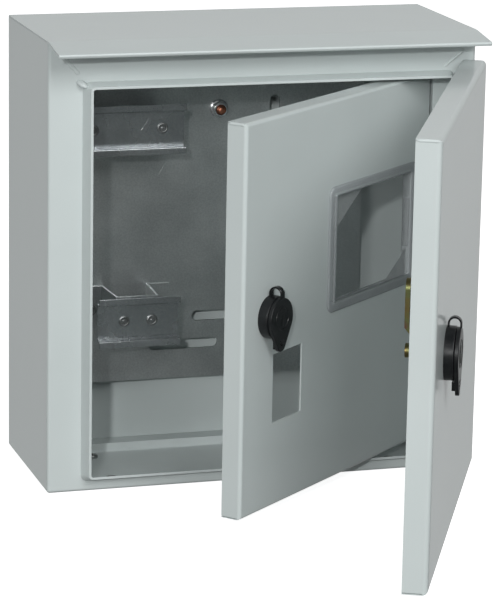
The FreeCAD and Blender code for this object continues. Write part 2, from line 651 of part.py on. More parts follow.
def lock_nut(x, z, face, sheet):
    flats = 2 * NUT_RADIUS * math.cos(math.pi / 6)
    nut = hexagon(x, z, flats, face + sheet, face + sheet + NUT_HEIGHT)
    return nut.cut(rod(x, z, LOCK_BARREL_RADIUS, face, face + 20))


def square_bar(x, z, side, y0, y1):
    return box(x - side / 2, x + side / 2, y0, y1, z - side / 2, z + side / 2)


def lock_core(x, z, face):
    """Turning cylinder with its keyway and the square that carries the cam."""
    hub = face + CAM_HUB_DEPTH
    core = rod(x, z, CORE_RADIUS, face - CORE_PROUD, hub)
    keyway = box(x - KEYWAY_WIDTH / 2, x + KEYWAY_WIDTH / 2, face - 3, face + KEYWAY_DEPTH,
                 z - KEYWAY_HEIGHT / 2, z + KEYWAY_HEIGHT / 2)
    return fuse(core.cut(keyway), square_bar(x, z, SPIGOT, hub, hub + CAM_SHEET))


def lock_cam(x, z, face):
    """Cranked cam with rounded ends and a square hole."""
    hub, tip = face + CAM_HUB_DEPTH, face + CAM_TIP_DEPTH
    heel, start, end, reach = z - CAM_HEEL, z + CAM_CRANK_START, z + CAM_CRANK_END, z + CAM_REACH
    side = [(hub, heel), (hub, start), (tip, end), (tip, reach), (tip + CAM_SHEET, reach),
            (tip + CAM_SHEET, end - 1.0), (hub + CAM_SHEET, start - 1.0), (hub + CAM_SHEET, heel)]
    half = CAM_WIDTH / 2
    blank = prism_across(side, x - half, x + half)
    outline = rounded_plate(x - half, x + half, heel, reach, hub - 1, tip + 8, half - 0.05)
    return blank.common(outline).cut(square_bar(x, z, SPIGOT + 2 * SPIGOT_FIT, hub - 1, hub + 5))


def cam_screw(x, z, face):
    seat = face + CAM_HUB_DEPTH + CAM_SHEET
    head_foot = seat + WASHER_SHEET
    head_top = head_foot + SCREW_HEAD_HEIGHT
    washer = rod(x, z, WASHER_RADIUS, seat, head_foot)
    head = rod(x, z, SCREW_HEAD_RADIUS, head_foot, head_top)
    slot = box(x - SCREW_SLOT_WIDTH / 2, x + SCREW_SLOT_WIDTH / 2, head_top - SCREW_SLOT_DEPTH, head_top + 1,
               z - 6, z + 6)
    return fuse(washer, head).cut(slot)


def teardrop(x, z, radius, tail, small, y0, y1):
    """Disc with a tapering tail below it."""
    foot = z - radius - tail + small
    reach = z - foot
    lean = math.asin((radius - small) / reach)
    along, drop = math.cos(lean), math.sin(lean)
    points = []
    for middle, size in ((z, radius), (foot, small)):
        points.append((Vector(x + size * along, y0, middle - size * drop),
                       Vector(x - size * along, y0, middle - size * drop)))
    edges = [Part.Arc(points[0][0], Vector(x, y0, z + radius), points[0][1]).toShape(),
             Part.LineSegment(points[0][1], points[1][1]).toShape(),
             Part.Arc(points[1][1], Vector(x, y0, foot - small), points[1][0]).toShape(),
             Part.LineSegment(points[1][0], points[0][0]).toShape()]
    return Part.Face(Part.Wire(edges)).extrude(Vector(0, y1 - y0, 0))


def cap_ring(x, z, face, radius, height):
    front = face - height
    ring = rod(x, z, radius, face, front).cut(rod(x, z, CAP_BORE, face + 1, front - 1))

    def outer_front_edge(edge):
        return abs(edge.CenterOfMass.y - front) < 0.01 and edge.Length > 6.4 * CAP_BORE

    return fillet_where(ring, CAP_EDGE, outer_front_edge)


def cap_lid(x, z, face, radius, back):
    """Teardrop lid with its plug, a grip under the tail and a hole for a lead seal."""
    tail = LID_TAIL * radius
    front = back - LID_SHEET
    lid = teardrop(x, z, radius - LID_INSET, tail, LID_TAIL_RADIUS, back, front)
    lid = fillet_where(lid, LID_EDGE, lambda edge: abs(edge.CenterOfMass.y - front) < 0.01)
    plug = rod(x, z, LID_PLUG_RADIUS, face - LID_PLUG_TOP, back)
    width, length, thickness = LID_HEEL
    heel_top = z - radius - 0.8
    heel = box(x - width / 2, x + width / 2, back + thickness, back, heel_top - length, heel_top)
    hole_height = z - radius - tail + SEAL_HOLE_RISE
    return fuse(lid, plug, heel).cut(rod(x, hole_height, SEAL_HOLE_RADIUS, face, front - 1))


def cap_strap(x, z, low, high, radius):
    """Flat strap bent into a loop above the cap, between two depths."""
    middle, reach = (low + high) / 2, (low - high) / 2
    foot = z + radius - 0.6
    spring = z + radius + STRAP_RISE - reach
    side = x - STRAP_WIDTH / 2

    def arch(size, bottom):
        near, far = middle + size, middle - size
        corners = [Vector(side, near, bottom), Vector(side, near, spring), Vector(side, middle, spring + size),
                   Vector(side, far, spring), Vector(side, far, bottom)]
        edges = [Part.LineSegment(corners[0], corners[1]).toShape(),
                 Part.Arc(corners[1], corners[2], corners[3]).toShape(),
                 Part.LineSegment(corners[3], corners[4]).toShape(),
                 Part.LineSegment(corners[4], corners[0]).toShape()]
        return Part.Face(Part.Wire(edges)).extrude(Vector(STRAP_WIDTH, 0, 0))

    return arch(reach, foot).cut(arch(reach - STRAP_SHEET, foot - 1))


def lock_and_cap(centre, face, sheet, cap):
    """All the pieces of one lock and its dust cap."""
    x, z = centre
    radius, height = cap
    lid_back = face - height - LID_GAP
    ring = cap_ring(x, z, face, radius, height)
    lid = cap_lid(x, z, face, radius, lid_back)
    strap = cap_strap(x, z, face - STRAP_INNER_LEG, lid_back - LID_SHEET - STRAP_OVERHANG, radius)
    return {"lock_housing": lock_body(x, z, face), "lock_nut": lock_nut(x, z, face, sheet),
            "lock_core": lock_core(x, z, face), "lock_cam": lock_cam(x, z, face),
            "cam_screw": cam_screw(x, z, face), "cap_ring": ring, "cap_lid": lid,
            "cap_strap": strap.cut(ring).cut(lid)}


# ---- assembly ----
def add_outer_door():
    pieces = lock_and_cap(OUTER_LOCK, OUTER_FACE, SHEET, OUTER_CAP)
    pieces["door_panel"] = outer_door_panel()
    pieces["door_gasket"] = gasket()
    for name, piece in pieces.items():
        solids["outer_" + name] = swing(piece, OUTER_AXIS, OUTER_OPEN)


def add_inner_door():
    pieces = lock_and_cap(INNER_LOCK, INNER_FACE, INNER_SHEET, INNER_CAP)
    pieces["door_panel"] = inner_door_panel()
    pieces["window"] = window()
    for name, piece in pieces.items():
        solids["inner_" + name] = swing(piece, INNER_AXIS, INNER_OPEN)


def add_hinges():
    for prefix, hinge in (("outer", outer_hinge), ("inner", inner_hinge)):
        for place, height in HINGE_HEIGHTS.items():
            for part_name, piece in zip(("leaf", "pin", "bush"), hinge(height)):
                solids["_".join((prefix, "hinge", part_name, place))] = piece


add_box_body()
add_outer_door()
add_inner_door()
add_hinges()

os.makedirs("parts", exist_ok=True)
for name, shape in solids.items():
    shape.exportStep("parts/" + name + ".step")
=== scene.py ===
import json
import math

import bmesh
import bpy
from mathutils import Matrix, Vector


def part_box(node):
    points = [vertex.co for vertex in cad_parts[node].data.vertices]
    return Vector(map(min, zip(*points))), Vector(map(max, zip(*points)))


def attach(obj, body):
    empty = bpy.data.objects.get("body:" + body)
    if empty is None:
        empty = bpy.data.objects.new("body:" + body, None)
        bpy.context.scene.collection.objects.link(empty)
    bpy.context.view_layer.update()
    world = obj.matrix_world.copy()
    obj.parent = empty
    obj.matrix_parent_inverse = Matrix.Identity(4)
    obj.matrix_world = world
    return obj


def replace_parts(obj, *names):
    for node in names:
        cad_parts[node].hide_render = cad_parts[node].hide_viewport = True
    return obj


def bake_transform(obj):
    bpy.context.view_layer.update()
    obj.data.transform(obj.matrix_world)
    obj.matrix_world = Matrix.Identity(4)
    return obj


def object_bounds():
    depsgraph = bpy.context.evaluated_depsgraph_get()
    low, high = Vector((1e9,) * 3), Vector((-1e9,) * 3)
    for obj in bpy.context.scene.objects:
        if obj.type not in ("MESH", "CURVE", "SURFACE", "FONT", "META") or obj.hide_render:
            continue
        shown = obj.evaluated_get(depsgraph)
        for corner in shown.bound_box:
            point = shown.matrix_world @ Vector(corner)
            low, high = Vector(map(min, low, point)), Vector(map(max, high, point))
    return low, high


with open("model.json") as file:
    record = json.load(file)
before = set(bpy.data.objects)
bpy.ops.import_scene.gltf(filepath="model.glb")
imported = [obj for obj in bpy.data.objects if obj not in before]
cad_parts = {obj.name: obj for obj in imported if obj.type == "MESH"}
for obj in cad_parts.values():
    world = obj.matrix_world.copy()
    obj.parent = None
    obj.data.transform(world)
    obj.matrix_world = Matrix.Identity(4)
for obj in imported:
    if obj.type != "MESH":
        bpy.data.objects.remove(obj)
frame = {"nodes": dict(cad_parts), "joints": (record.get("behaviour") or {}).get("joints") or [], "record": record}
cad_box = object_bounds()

# Looks of the wall-mounted sub-panel enclosure. Everything is in metres, in the CAD frame.
# Door parts are drawn with their door closed, facing -Y, and are then swung open with it.

MM = 0.001
nodes = frame["nodes"]
joints = {joint["name"]: joint for joint in frame["joints"]}


# ---- camera, floor and light ----
CAMERA_YAW, CAMERA_PITCH, CAMERA_ROLL = math.radians(17.13), math.radians(13.81), math.radians(1.08)
CAMERA_DISTANCE = 2.1793
CAMERA_TARGET = Vector((0.0059, -0.075, -0.0383))
FOCAL_LENGTH = 187.49        # mm on a sensor 36 mm tall
FLOOR_SIZE = 40.0
FLOOR_DROP = 0.5 * MM        # the floor lies this far under the box
FLOOR_GLOW = 0.85
ROOM_LIGHT, BACKDROP_LIGHT = 0.13, 0.70
BACKDROP_START, BACKDROP_FULL = 0.45, 0.8
LAMP_COLOUR = (0.985, 1.0, 1.0)
LAMP_DISTANCE = 3.5
# name, azimuth and elevation in degrees, size in metres, power in watts
LAMPS = (
    ("upper_front_soft_box", 5, 35, 1.5, 52),
    ("upper_right_soft_box", 45, 45, 1.5, 12),
    ("left_soft_box", -38, 15, 1.2, 25),
    ("front_soft_box", 8, 18, 1.5, 3),
    ("small_lamp", -22, 17.5, 0.1, 31),
)


def look_frame(yaw, pitch, roll):
    """Right, up and forward directions of a camera turned to the right, tipped down and rolled."""
    forward = Vector((math.sin(yaw) * math.cos(pitch), math.cos(yaw) * math.cos(pitch), -math.sin(pitch)))
    level = Vector((math.cos(yaw), -math.sin(yaw), 0))
    upright = level.cross(forward)
    right = math.cos(roll) * level + math.sin(roll) * upright
    up = -math.sin(roll) * level + math.cos(roll) * upright
    return right, up, forward


def add_camera():
    right, up, forward = look_frame(CAMERA_YAW, CAMERA_PITCH, CAMERA_ROLL)
    data = bpy.data.cameras.new("camera")
    data.sensor_width = 36.0
    data.lens = FOCAL_LENGTH
    data.clip_start, data.clip_end = 0.1, 100.0
    camera = bpy.data.objects.new("camera", data)
    rotation = Matrix((right, up, -forward)).transposed().to_4x4()
    camera.matrix_world = Matrix.Translation(CAMERA_TARGET - CAMERA_DISTANCE * forward) @ rotation
    bpy.context.scene.collection.objects.link(camera)
    bpy.context.scene.camera = camera


def add_area_light(name, azimuth, elevation, size, power):
    """Square lamp aimed at the box. Azimuth is from the front (-Y), positive towards +X."""
    azimuth, elevation = math.radians(azimuth), math.radians(elevation)
    way = Vector((math.sin(azimuth) * math.cos(elevation), -math.cos(azimuth) * math.cos(elevation),
                  math.sin(elevation)))
    data = bpy.data.lights.new(name, "AREA")
    data.size = size
    data.energy = power
    data.color = LAMP_COLOUR
    lamp = bpy.data.objects.new(name, data)
    lamp.location = CAMERA_TARGET + LAMP_DISTANCE * way
    lamp.rotation_mode = "QUATERNION"
    lamp.rotation_quaternion = way.to_track_quat("Z", "Y")
    bpy.context.scene.collection.objects.link(lamp)


def add_floor():
    mesh = bpy.data.meshes.new("floor")
    half = FLOOR_SIZE / 2
    z = cad_box[0].z - FLOOR_DROP
    corners = [(-half, -half, z), (half, -half, z), (half, half, z), (-half, half, z)]
    mesh.from_pydata(corners, [], [(0, 1, 2, 3)])
    floor = bpy.data.objects.new("floor", mesh)
    bpy.context.scene.collection.objects.link(floor)
    material = bpy.data.materials.new("pale_floor")
    material.use_nodes = True
    shader = material.node_tree.nodes["Principled BSDF"]
    shader.inputs["Base Color"].default_value = (0.9, 0.9, 0.9, 1)
    shader.inputs["Roughness"].default_value = 0.9
    shader.inputs["Emission Color"].default_value = (1, 1, 1, 1)
    shader.inputs["Emission Strength"].default_value = FLOOR_GLOW
    mesh.materials.append(material)
    floor.visible_glossy = False
    floor.visible_diffuse = False


def add_world():
    """Dim room in front of the box, and the white backdrop that its sides and doors mirror behind it."""
    world = bpy.data.worlds.new("studio")
    world.use_nodes = True
    bpy.context.scene.world = world
    tree = world.node_tree
    place = tree.nodes.new("ShaderNodeTexCoord")
    split = tree.nodes.new("ShaderNodeSeparateXYZ")
    blend = tree.nodes.new("ShaderNodeMapRange")
    blend.interpolation_type = "SMOOTHSTEP"
    blend.inputs["From Min"].default_value = BACKDROP_START
    blend.inputs["From Max"].default_value = BACKDROP_FULL
    blend.inputs["To Min"].default_value = ROOM_LIGHT
    blend.inputs["To Max"].default_value = BACKDROP_LIGHT
    background = tree.nodes["Background"]
    background.inputs["Color"].default_value = (0.98, 1.0, 1.0, 1)
    tree.links.new(place.outputs["Generated"], split.inputs[0])
    tree.links.new(split.outputs["Y"], blend.inputs["Value"])
    tree.links.new(blend.outputs["Result"], background.inputs["Strength"])


# ---- materials ----
class Paint:
    """A node tree with one Principled shader and short ways to add procedural detail."""

    def __init__(self, name, colour, metallic=0.0, roughness=0.5, **sockets):
        self.material = bpy.data.materials.new(name)
        self.material.use_nodes = True
        self.tree = self.material.node_tree
        self.shader = self.tree.nodes["Principled BSDF"]
        self.shader.inputs["Base Color"].default_value = (*colour, 1)
        self.shader.inputs["Metallic"].default_value = metallic
        self.shader.inputs["Roughness"].default_value = roughness
        for socket, value in sockets.items():
            self.shader.inputs[socket.replace("_", " ")].default_value = value
        self.place = self.tree.nodes.new("ShaderNodeTexCoord").outputs["Object"]

    def add(self, kind, **inputs):
        node = self.tree.nodes.new(kind)
        for socket, value in inputs.items():
            target = node.inputs[socket.replace("_", " ")]
            if isinstance(value, bpy.types.NodeSocket):
                self.tree.links.new(value, target)
            else:
                target.default_value = value
        return node

    def noise(self, scale, detail=2.0, roughness=0.5):
        node = self.add("ShaderNodeTexNoise", Vector=self.place, Scale=scale, Detail=detail,
                        Roughness=roughness)
        return node.outputs["Fac"]

    def ramp(self, value, low, high, to_low, to_high):
        """Clamped change of range of one value."""
        node = self.add("ShaderNodeMapRange", Value=value, From_Min=low, From_Max=high, To_Min=to_low,
                        To_Max=to_high)
        return node.outputs["Result"]

    def colours(self, value, *stops):
        """Colour ramp through (position, (r, g, b)) stops."""
        node = self.add("ShaderNodeValToRGB", Fac=value)
        elements = node.color_ramp.elements
        for index, (position, colour) in enumerate(stops):
            element = elements[index] if index < 2 else elements.new(position)
            element.position = position
            element.color = (*colour, 1)
        return node.outputs["Color"]

    def mix(self, factor, first, second):
        node = self.tree.nodes.new("ShaderNodeMix")
        node.data_type = "RGBA"
        for index, value in ((0, factor), (6, first), (7, second)):
            if isinstance(value, bpy.types.NodeSocket):
                self.tree.links.new(value, node.inputs[index])
            else:
                node.inputs[index].default_value = value if index == 0 else (*value, 1)
        return node.outputs[2]

    def plus(self, first, second):
        node = self.tree.nodes.new("ShaderNodeMath")
        node.operation = "ADD"
        for index, value in enumerate((first, second)):
            self.tree.links.new(value, node.inputs[index])
        return node.outputs[0]

    def bump(self, *layers):
        """Stacked height layers, each (height, strength, distance)."""
        normal = None
        for height, strength, distance in layers:
            node = self.add("ShaderNodeBump", Height=height, Strength=strength, Distance=distance)
            if normal:
                self.tree.links.new(normal, node.inputs["Normal"])
            normal = node.outputs["Normal"]
        self.tree.links.new(normal, self.shader.inputs["Normal"])

    def set(self, socket, value):
        self.tree.links.new(value, self.shader.inputs[socket])


def powder_coat():
    """Light grey semi-gloss powder coat with its orange peel."""
    paint = Paint("powder_coat", (0.60, 0.65, 0.645), roughness=0.42, Specular_IOR_Level=0.3, Coat_Weight=0.5,
                  Coat_Roughness=0.13, Coat_IOR=1.45)
    cloud = paint.noise(14.0, 3.0)
    specks = paint.noise(1500.0, 1.0)
    tone = paint.colours(cloud, (0.3, (0.585, 0.635, 0.63)), (0.7, (0.612, 0.662, 0.657)))
    speck_mask = paint.ramp(specks, 0.80, 0.84, 0.0, 0.5)
    paint.set("Base Color", paint.mix(speck_mask, tone, (0.42, 0.45, 0.45)))
    peel = paint.noise(620.0, 1.5, 0.45)
    paint.set("Roughness", paint.ramp(paint.plus(peel, cloud), 0.6, 1.4, 0.37, 0.48))
    paint.bump((cloud, 0.1, 0.3 * MM), (peel, 0.5, 0.05 * MM))
    return paint.material


def galvanised(name, dark, light, metallic, roughness):
    """Zinc-coated sheet: dull metal, finely speckled, with soft clouds and bright grains."""
    paint = Paint(name, light, metallic=metallic, roughness=roughness)
    cloud = paint.noise(26.0, 3.0, 0.55)
    speckle = paint.noise(800.0, 2.0, 0.6)
    tone = paint.plus(paint.ramp(cloud, 0.3, 0.7, 0.1, 0.5), paint.ramp(speckle, 0.3, 0.7, 0.15, 0.5))
    bright_grains = paint.ramp(speckle, 0.70, 0.78, 0.0, 0.4)
    base = paint.colours(tone, (0.1, dark), (0.9, light))
    paint.set("Base Color", paint.mix(bright_grains, base, (0.92, 0.93, 0.93)))
    paint.set("Roughness", paint.ramp(cloud, 0.3, 0.7, roughness, roughness + 0.04))
    paint.bump((cloud, 0.1, 0.15 * MM))
    return paint.material


def plated(name, light, dark, roughness):
    """Plated steel with a faint grain."""
    paint = Paint(name, light, metallic=1.0, roughness=roughness)
    grain = paint.noise(700.0, 2.0, 0.6)
    stain = paint.noise(90.0, 3.0)
    tone = paint.plus(paint.ramp(grain, 0.3, 0.7, 0.0, 0.4), paint.ramp(stain, 0.35, 0.65, 0.0, 0.6))
    paint.set("Base Color", paint.colours(tone, (0.1, dark), (0.9, light)))
    paint.set("Roughness", paint.ramp(stain, 0.3, 0.7, roughness - 0.07, roughness + 0.08))
    paint.bump((grain, 0.25, 0.02 * MM))
    return paint.material


def yellow_zinc():
    """Yellow passivated zinc, gold with green and red shimmer."""
    paint = Paint("yellow_zinc", (0.5, 0.42, 0.22), metallic=0.9, roughness=0.4)
    film = paint.noise(75.0, 3.0, 0.6)
    hue = paint.colours(film, (0.25, (0.13, 0.085, 0.04)), (0.75, (0.09, 0.15, 0.06)),
                        (0.42, (0.20, 0.155, 0.06)), (0.55, (0.15, 0.17, 0.07)), (0.66, (0.16, 0.08, 0.06)))
    paint.set("Base Color", hue)
    paint.set("Roughness", paint.ramp(film, 0.3, 0.7, 0.34, 0.5))
    paint.bump((paint.noise(800.0, 2.0), 0.5, 0.05 * MM))
    return paint.material


def moulded_black(name="moulded_black", roughness=0.34):
    """Satin black moulded plastic with a fine grain."""
    paint = Paint(name, (0.008, 0.009, 0.010), roughness=roughness, Specular_IOR_Level=0.3)
    grain = paint.noise(1400.0, 2.0, 0.6)
    scuff = paint.noise(160.0, 3.0)
    paint.set("Base Color", paint.colours(scuff, (0.35, (0.007, 0.008, 0.009)), (0.7, (0.014, 0.015, 0.016))))
    paint.set("Roughness", paint.ramp(scuff, 0.35, 0.7, roughness - 0.06, roughness + 0.08))
    paint.bump((grain, 0.3, 0.02 * MM))
    return paint.material


def soft_black(name, colour, roughness, pores, depth):
    """Rubber or foam: matt, with pores of the given size."""
    paint = Paint(name, colour, roughness=roughness, Specular_IOR_Level=0.3)
    holes = paint.add("ShaderNodeTexVoronoi", Vector=paint.place, Scale=pores).outputs["Distance"]
    cloud = paint.noise(60.0, 3.0)
    lighter = tuple(1.6 * channel for channel in colour)
    paint.set("Base Color", paint.colours(cloud, (0.3, colour), (0.7, lighter)))
    paint.set("Roughness", paint.ramp(cloud, 0.3, 0.7, roughness - 0.08, roughness + 0.05))
    paint.bump((holes, 0.5, depth))
    return paint.material


def clear(name, colour, roughness, faced, grazing, shine=0.6):
    """Clear moulding: how much of the surface shows when it is faced and at a grazing angle."""
    paint = Paint(name, colour, roughness=roughness, Specular_IOR_Level=shine)
    haze = paint.noise(120.0, 3.0)
    paint.set("Roughness", paint.ramp(haze, 0.3, 0.8, 0.7 * roughness, 1.4 * roughness))
    edge = paint.add("ShaderNodeFresnel", IOR=1.5).outputs["Fac"]
    paint.set("Alpha", paint.ramp(edge, 0.04, 0.9, faced, grazing))
    paint.bump((paint.noise(35.0, 1.0), 0.05, 0.2 * MM))
    return paint.material


MATERIALS = {
    "painted_steel": powder_coat(),
    "galvanised_steel": galvanised("galvanised_sheet", (0.48, 0.505, 0.51), (0.78, 0.805, 0.805), 0.92, 0.28),
    "rivet_steel": plated("rivet_steel", (0.40, 0.41, 0.41), (0.27, 0.28, 0.28), 0.34),
    "bright_steel": plated("bright_steel", (0.92, 0.93, 0.94), (0.80, 0.81, 0.82), 0.2),
    "copper_plated": plated("copper_plated", (0.62, 0.27, 0.16), (0.38, 0.14, 0.09), 0.36),
    "yellow_zinc": yellow_zinc(),
    "die_cast": plated("die_cast_zinc", (0.55, 0.56, 0.57), (0.40, 0.41, 0.42), 0.4),
    "black_plastic": moulded_black(),
    "clear_plastic": clear("clear_plastic", (0.62, 0.66, 0.67), 0.08, 0.2, 0.8),
    "rubber": soft_black("black_rubber", (0.018, 0.018, 0.019), 0.62, 1500.0, 0.02 * MM),
    "foam": soft_black("grey_foam", (0.035, 0.036, 0.038), 0.9, 1100.0, 0.25 * MM),
}

# Finishes beyond the record's slots
MATERIALS["rail_zinc"] = galvanised("rail_zinc", (0.38, 0.40, 0.415), (0.60, 0.625, 0.64), 0.96, 0.25)
MATERIALS["clear_rim"] = clear("clear_rim", (0.66, 0.69, 0.71), 0.07, 0.27, 0.85, shine=1.0)
MATERIALS["clear_pane"] = clear("clear_pane", (0.40, 0.43, 0.44), 0.03, 0.0, 0.2)
MATERIALS["clear_frosted"] = clear("clear_frosted", (0.72, 0.74, 0.745), 0.3, 0.26, 0.8)
MATERIALS["black_gloss"] = moulded_black("black_gloss", 0.22)
NODE_FINISH = {"rail_upper": "rail_zinc", "rail_lower": "rail_zinc", "gland_screws": "rivet_steel"}
slot_of_node = {row["node"]: row["material_slot"] for row in frame["record"]["subparts"]}


# ---- CAD nodes that stay: material, and small rounded edges ----
EDGE_WIDTHS = {"painted_steel": 0.35 * MM, "galvanised_steel": 0.32 * MM, "foam": 1.2 * MM}
PLAIN_EDGE = 0.25 * MM
SAME_POINT = 0.002 * MM      # vertices closer than this are one


def soften_edges(piece, width):
    """Small rounded edges with clean shading, as modifiers."""
    weld = piece.modifiers.new("weld", "WELD")
    weld.merge_threshold = SAME_POINT
    flat = piece.modifiers.new("flat_faces", "DECIMATE")
    flat.decimate_type = "DISSOLVE"
    flat.angle_limit = math.radians(0.4)
    bevel = piece.modifiers.new("edges", "BEVEL")
    bevel.width = width
    bevel.segments = 2
    bevel.limit_method = "ANGLE"
    bevel.angle_limit = math.radians(30)
    bevel.miter_outer = "MITER_ARC"
    piece.modifiers.new("shading", "WEIGHTED_NORMAL").keep_sharp = False


def dress_cad_nodes():
    for name, piece in nodes.items():
        slot = slot_of_node[name]
        piece.data.materials.clear()
        piece.data.materials.append(MATERIALS[NODE_FINISH.get(name, slot)])
        soften_edges(piece, EDGE_WIDTHS.get(slot, PLAIN_EDGE))


# ---- places, read from the frame ----
def opened(joint_name):
    """Matrix that swings a piece drawn on the closed door to where the door is stored."""
    joint = joints[joint_name]
    centre = Matrix.Translation(Vector(joint["pos_m"]))
    return centre @ Matrix.Rotation(math.radians(-joint["range_deg"][0]), 4, "Z") @ centre.inverted()


IN_PLACE = {"box": Matrix.Identity(4), "outer_door": opened("outer_door_hinge"),
            "inner_door": opened("inner_door_hinge")}
IN_PLACE["outer_lid"], IN_PLACE["inner_lid"] = IN_PLACE["outer_door"], IN_PLACE["inner_door"]


def corners_of(points):
    low = Vector([min(point[axis] for point in points) for axis in range(3)])
    high = Vector([max(point[axis] for point in points) for axis in range(3)])
    return low, high


def closed_box(name, body):
    """Corners of a node with its door closed."""
    back = IN_PLACE[body].inverted()
    return corners_of([back @ vertex.co for vertex in nodes[name].data.vertices])


def island_boxes(name):
    """Corners of each separate solid of a node."""
    mesh = bmesh.new()
    mesh.from_mesh(nodes[name].data)
    bmesh.ops.remove_doubles(mesh, verts=mesh.verts, dist=SAME_POINT)
    left = set(mesh.verts)
    boxes = []
    while left:
        island, edge_of_island = set(), [left.pop()]
        while edge_of_island:
            vertex = edge_of_island.pop()
            island.add(vertex)
            for edge in vertex.link_edges:
                other = edge.other_vert(vertex)
                if other in left:
                    left.remove(other)
                    edge_of_island.append(other)
        boxes.append(corners_of([vertex.co for vertex in island]))
    mesh.free()
    return sorted(boxes, key=lambda corners: tuple(corners[0]))


# ---- mesh building blocks ----
class Shape:
    """Vertices and faces of one piece, in metres, with its door closed."""

    def __init__(self):
        self.points, self.faces = [], []

    def rings(self, rings, close_rings=False):
        """Skin between loops of equal length, capped at both ends unless the last loop joins the first."""
        base, count = len(self.points), len(rings[0])
        for ring in rings:
            self.points.extend(ring)
        total = len(rings)
        for row in range(total if close_rings else total - 1):
            first, second = base + row * count, base + (row + 1) % total * count
            for index in range(count):
                other = (index + 1) % count
                self.faces.append((first + index, first + other, second + other, second + index))
        if not close_rings:
            self.faces.append(tuple(base + index for index in reversed(range(count))))
            self.faces.append(tuple(base + (total - 1) * count + index for index in range(count)))

    def lathe(self, centre, profile, along=Vector((0, -1, 0)), segments=48):
        """Turned form from (radius, height) pairs about a direction."""
        turn = along.to_track_quat("Z", "Y").to_matrix()
        rings = []
        for radius, height in profile:
            ring = []
            for step in range(segments):
                angle = 2 * math.pi * step / segments
                local = Vector((radius * math.cos(angle), radius * math.sin(angle), height))
                ring.append(centre + turn @ local)
            rings.append(ring)
        self.rings(rings)

    def tube(self, path, radii, sides, flatten, up=Vector((0, 0, 1))):
        """Oval bar along a path, with a radius for each point, flattened along up."""
        rings = []
        for index, point in enumerate(path):
            ahead = path[min(index + 1, len(path) - 1)] - path[max(index - 1, 0)]
            ahead.normalize()
            across = ahead.cross(up).normalized()
            lift = across.cross(ahead)
            ring = []
            for step in range(sides):
                angle = 2 * math.pi * step / sides
                wide = math.cos(angle) * across
                tall = flatten * math.sin(angle) * lift
                ring.append(point + radii[index] * (wide + tall))
            rings.append(ring)
        self.rings(rings)

    def finish(self, name, slot, body, smooth=math.radians(40), ride=True):
        """The mesh object with its material, in its stored place and riding on its body."""
        mesh = bpy.data.meshes.new(name)
        mesh.from_pydata([tuple(point) for point in self.points], [], self.faces)
        edit = bmesh.new()
        edit.from_mesh(mesh)
        bmesh.ops.remove_doubles(edit, verts=edit.verts, dist=0.001 * MM)
        bmesh.ops.recalc_face_normals(edit, faces=edit.faces)
        edit.to_mesh(mesh)
        edit.free()
        mesh.transform(IN_PLACE[body])
        mesh.materials.append(MATERIALS[slot])
        mesh.shade_smooth()
        mesh.set_sharp_from_angle(angle=smooth)
        piece = bpy.data.objects.new(name, mesh)
        bpy.context.scene.collection.objects.link(piece)
        if ride:
            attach(piece, body)
        return piece


def rounded_loop(centre, half_wide, half_tall, radius, y, arc_steps=6):
    """Rounded rectangle facing -Y."""
    loop = []
    for quarter, (side, level) in enumerate(((1, 1), (-1, 1), (-1, -1), (1, -1))):
        x = centre.x + side * (half_wide - radius)
        z = centre.z + level * (half_tall - radius)
        for step in range(arc_steps + 1):
            angle = math.pi / 2 * (quarter + step / arc_steps)
            loop.append(Vector((x + radius * math.cos(angle), y, z + radius * math.sin(angle))))
    return loop


def circle(centre, radius, y, segments):
    """Circle that faces -Y."""
    angles = [2 * math.pi * step / segments for step in range(segments)]
    return [Vector((centre.x + radius * math.cos(angle), y, centre.z + radius * math.sin(angle)))
            for angle in angles]


def between(start, end, count):
    """Evenly spaced points of a straight line, its ends included."""
    return [start.lerp(end, index / (count - 1)) for index in range(count)]


# ---- rivets, studs, nuts and cable entries ----
# radius and height in mm
RIVET_PROFILE = ((3.9, 0.0), (3.9, 0.45), (3.75, 0.75), (3.4, 0.98), (3.0, 1.08), (2.6, 1.05), (2.35, 0.85),
                 (2.15, 0.3), (2.0, 0.08), (1.05, 0.08), (0.95, 0.4), (0.8, 0.52), (0.1, 0.55))
THREAD_PITCH, THREAD_DEPTH = 1.0 * MM, 0.32 * MM
THREAD_STEPS = 6
THREAD_RUN_OUT = 1.2 * MM    # plain domed end of a stud
# share of the radius, and drop in mm
STUD_DOME = ((0.86, 0.1), (0.82, 0.75), (0.7, 1.0), (0.45, 1.12), (0.15, 1.18))
GROMMET_RIBS = 3
GROMMET_COLLAR = 3.6 * MM    # upper end of the upper flange's rim, above the entry's foot
# share of the flange radius, share of the height, and whether the hexagon cuts it
NUT_PROFILE = ((0.97, 0.0, False), (1.0, 0.04, False), (1.0, 0.12, False), (0.97, 0.17, False),
               (0.88, 0.22, False), (0.84, 0.24, True), (0.84, 0.86, True), (0.79, 0.93, True),
               (0.74, 0.98, True), (0.69, 1.0, True))
NUT_FLATS = 0.735            # half the width across flats, as a share of the flange radius
# share of the flange radius and share of the height, from the recess down the bore
NUT_BORE = ((0.55, 1.0), (0.48, 0.9), (0.46, 0.0))


def scaled(profile):
    """Profile in metres from one in mm."""
    return [(radius * MM, height * MM) for radius, height in profile]


def add_rivets():
    """Rivet heads with their crater and the broken mandrel inside."""
    for name in ("rail_rivets_upper", "rail_rivets_lower", "bracket_rivets"):
        heads = Shape()
        for low, high in island_boxes(name):
            centre = (low + high) / 2
            centre.y = high.y
            heads.lathe(centre, scaled(RIVET_PROFILE))
        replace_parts(heads.finish(name + "_heads", "rivet_steel", "box"), name)


